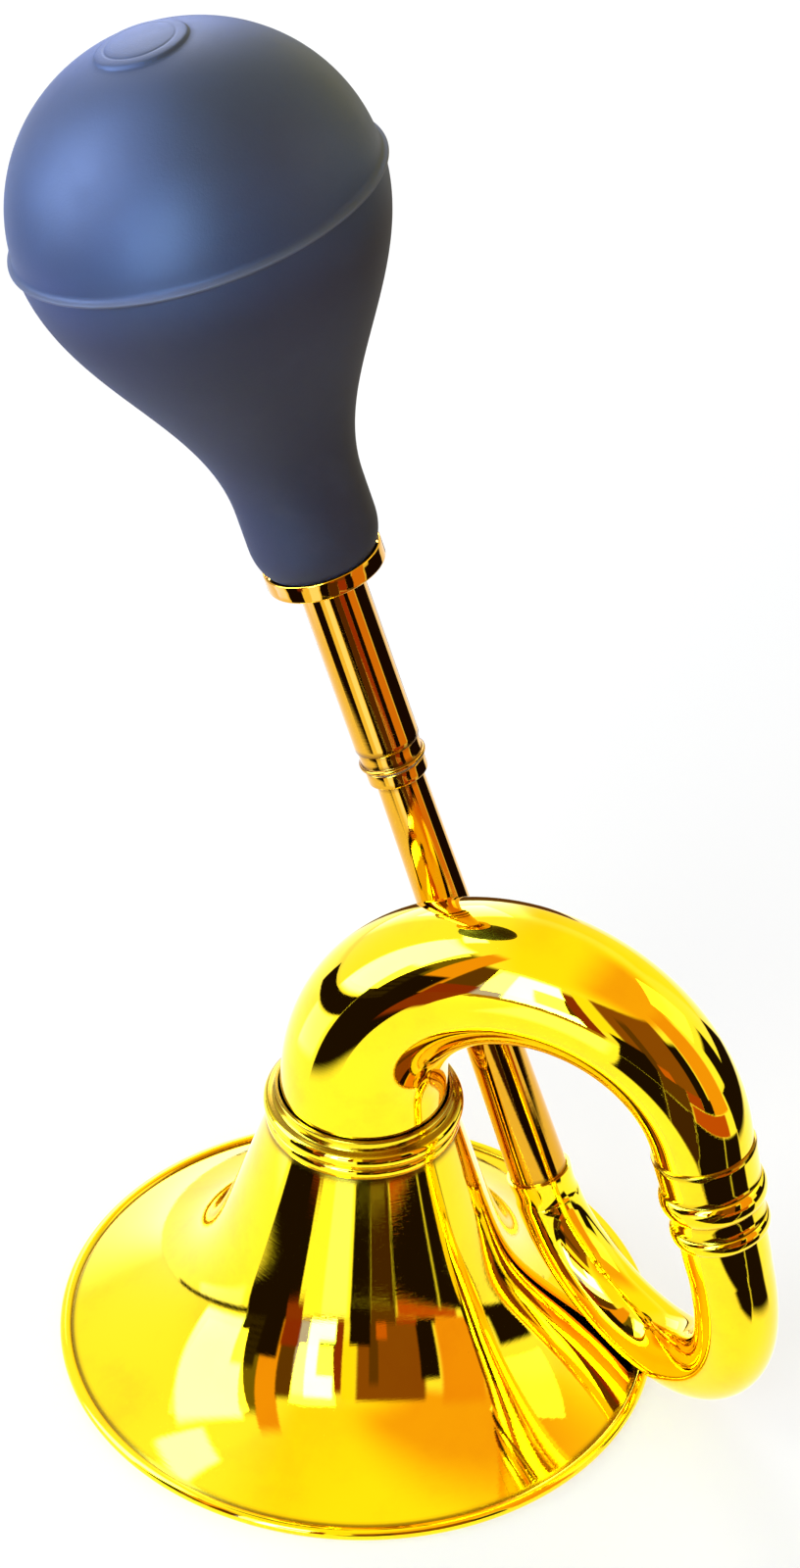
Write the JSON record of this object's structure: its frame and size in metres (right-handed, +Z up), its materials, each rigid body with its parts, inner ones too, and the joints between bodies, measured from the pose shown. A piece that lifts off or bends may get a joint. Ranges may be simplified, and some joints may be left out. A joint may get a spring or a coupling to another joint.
{
  "type": "bulb horn",
  "caption": "Brass bulb horn coiled once round, with a flared bell, beaded ferrules, a screwed reed barrel and a rubber squeeze bulb.",
  "frame": {"origin": "centre of the bell's mouth, on the plane its rim stands on", "axes": "+Z up along the bell's axis, +X towards the small end of the main bow, +Y towards the lead pipe behind the bow"},
  "size_m": [0.224, 0.16, 0.3732],
  "materials": {
    "brass": "polished",
    "rubber": "satin",
    "leather": "matt",
    "steel": "drawn wire"
  },
  "bodies": {
    "horn": {"bell": "brass", "rim_wire": "steel", "neck_ferrule": "brass", "main_bow": "brass", "bow_ferrule": "brass", "lower_bow": "brass", "lead_pipe": "brass", "pipe_ring": "brass", "spigot": "brass", "reed_block": "brass", "reed_shallot": "brass", "reed_wedge": "brass"},
    "reed": {"reed_tongue": "brass"},
    "washer": {"joint_washer": "leather"},
    "barrel": {"barrel_ring": "brass", "barrel": "brass", "bulb_cup": "brass", "bulb_nipple": "brass", "bulb_base": "rubber"},
    "dome": {"bulb_dome": "rubber"}
  },
  "joints": [
    {"name": "washer_rise", "type": "slide", "parent": "horn", "child": "washer", "axis": [-0.3387, 0, 0.9409], "range_m": [0, 0.006]},
    {"name": "barrel_turn", "type": "hinge", "parent": "washer", "child": "barrel", "pos_m": [-0.00801, 0.02807, 0.18116], "axis": [-0.3387, 0, 0.9409], "range_deg": [0, 1440]},
    {"name": "bulb_squeeze", "type": "slide", "parent": "barrel", "child": "dome", "axis": [0.3387, 0, -0.9409], "range_m": [0, 0.03], "stiffness_N_per_m": 1500, "springref_m": -0.003, "deforming": ["bulb_base"]},
    {"name": "reed_flex", "type": "hinge", "parent": "horn", "child": "reed", "pos_m": [-0.00868, 0.02807, 0.18846], "axis": [0, -1, 0], "range_deg": [0, 2.6], "stiffness_Nm_per_rad": 0.02}
  ],
  "couplings": [
    {"joint": "washer_rise", "follows": "barrel_turn", "m_per_rad": 0.00023873}
  ]
}
